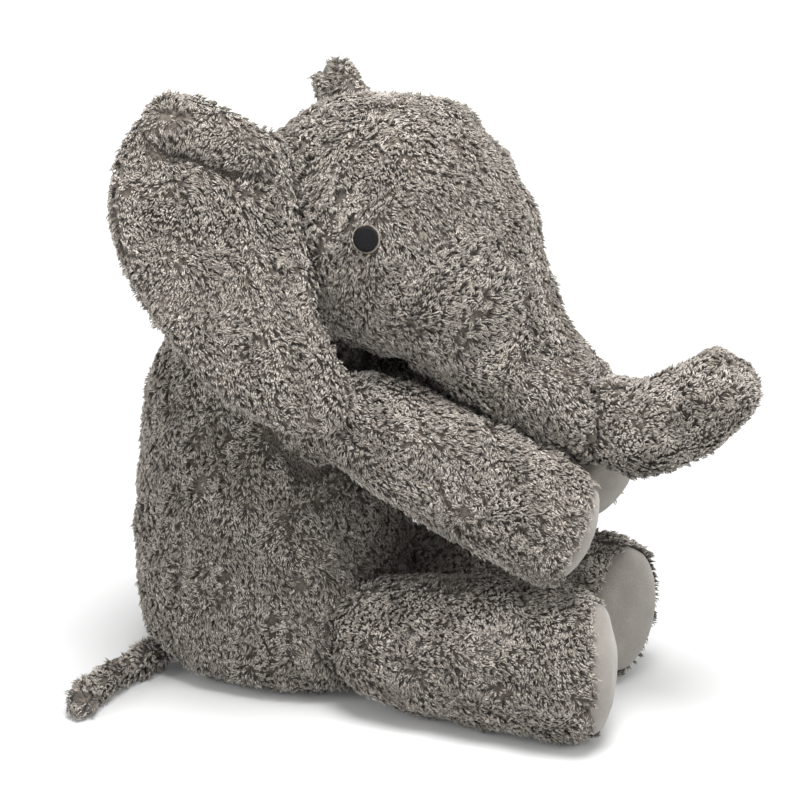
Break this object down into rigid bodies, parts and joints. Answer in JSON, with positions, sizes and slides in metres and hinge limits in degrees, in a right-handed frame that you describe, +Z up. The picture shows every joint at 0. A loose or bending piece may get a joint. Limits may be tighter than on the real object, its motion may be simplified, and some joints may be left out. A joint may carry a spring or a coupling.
{
  "type": "stuffed elephant toy",
  "caption": "Soft stuffed elephant toy that sits upright, in curly grey plush, with large floppy ears, a raised trunk and smooth soles; its head, limbs, ears and tail move.",
  "frame": {"origin": "middle of the flat seat face, on the surface that the toy sits on", "axes": "+X forward, the way the trunk and feet point; +Y to the elephant's left; +Z up"},
  "size_m": [0.289, 0.2241, 0.2831],
  "materials": {
    "curly_plush": "short curly pile, matte",
    "smooth_plush": "very short brushed nap, matte",
    "eye_thread": "dense satin-stitch embroidery, matte black",
    "rim_thread": "fine border stitches, matte",
    "filling": "loose white fibre",
    "wadding": "thin white wadding"
  },
  "bodies": {
    "torso": {"body_belly_panel": "curly_plush", "body_left_side_panel": "curly_plush", "body_right_side_panel": "curly_plush", "body_seat_panel": "curly_plush", "body_stuffing": "filling"},
    "head": {"head_chin_panel": "curly_plush", "head_gusset": "curly_plush", "head_left_panel": "curly_plush", "head_right_panel": "curly_plush", "head_stuffing": "filling", "left_eye": "eye_thread", "left_eye_rim": "rim_thread", "right_eye": "eye_thread", "right_eye_rim": "rim_thread"},
    "trunk": {"trunk_left_panel": "curly_plush", "trunk_right_panel": "curly_plush", "trunk_stuffing": "filling", "trunk_tip_panel": "curly_plush"},
    "tail": {"tail_stuffing": "filling", "tail_top_panel": "curly_plush", "tail_under_panel": "curly_plush"},
    "left_ear": {"left_ear_back_panel": "curly_plush", "left_ear_front_panel": "curly_plush", "left_ear_wadding": "wadding"},
    "left_arm": {"left_arm_sole": "smooth_plush", "left_arm_stuffing": "filling", "left_arm_top_panel": "curly_plush", "left_arm_under_panel": "curly_plush"},
    "left_leg": {"left_leg_sole": "smooth_plush", "left_leg_stuffing": "filling", "left_leg_top_panel": "curly_plush", "left_leg_under_panel": "curly_plush"},
    "right_ear": {"right_ear_back_panel": "curly_plush", "right_ear_front_panel": "curly_plush", "right_ear_wadding": "wadding"},
    "right_arm": {"right_arm_sole": "smooth_plush", "right_arm_stuffing": "filling", "right_arm_top_panel": "curly_plush", "right_arm_under_panel": "curly_plush"},
    "right_leg": {"right_leg_sole": "smooth_plush", "right_leg_stuffing": "filling", "right_leg_top_panel": "curly_plush", "right_leg_under_panel": "curly_plush"}
  },
  "joints": [
    {"name": "head_nod", "type": "hinge", "parent": "torso", "child": "head", "pos_m": [0.014, 0, 0.166], "axis": [0, -1, 0], "range_deg": [0, 20]},
    {"name": "trunk_curl", "type": "hinge", "parent": "head", "child": "trunk", "pos_m": [0.162, 0, 0.1385], "axis": [0, -1, 0], "range_deg": [-8, 35]},
    {"name": "left_ear_flap", "type": "hinge", "parent": "head", "child": "left_ear", "pos_m": [0.0185, 0.038, 0.26], "axis": [0.3305, 0.3105, -0.8913], "range_deg": [-10, 20]},
    {"name": "left_arm_swing", "type": "hinge", "parent": "torso", "child": "left_arm", "pos_m": [0.052, 0.041, 0.138], "axis": [0, 0, 1], "range_deg": [0, 20]},
    {"name": "left_leg_splay", "type": "hinge", "parent": "torso", "child": "left_leg", "pos_m": [0.063, 0.033, 0.033], "axis": [0, 0, 1], "range_deg": [0, 25]},
    {"name": "right_ear_flap", "type": "hinge", "parent": "head", "child": "right_ear", "pos_m": [0.0185, -0.038, 0.26], "axis": [-0.3305, 0.3105, 0.8913], "range_deg": [-10, 20]},
    {"name": "right_arm_swing", "type": "hinge", "parent": "torso", "child": "right_arm", "pos_m": [0.06, -0.041, 0.138], "axis": [0, 0, -1], "range_deg": [0, 20]},
    {"name": "right_leg_splay", "type": "hinge", "parent": "torso", "child": "right_leg", "pos_m": [0.071, -0.033, 0.033], "axis": [0, 0, -1], "range_deg": [0, 25]},
    {"name": "tail_swing", "type": "hinge", "parent": "torso", "child": "tail", "pos_m": [-0.045, -0.0355, 0.0075], "axis": [0, 0, -1], "range_deg": [0, 45]}
  ]
}
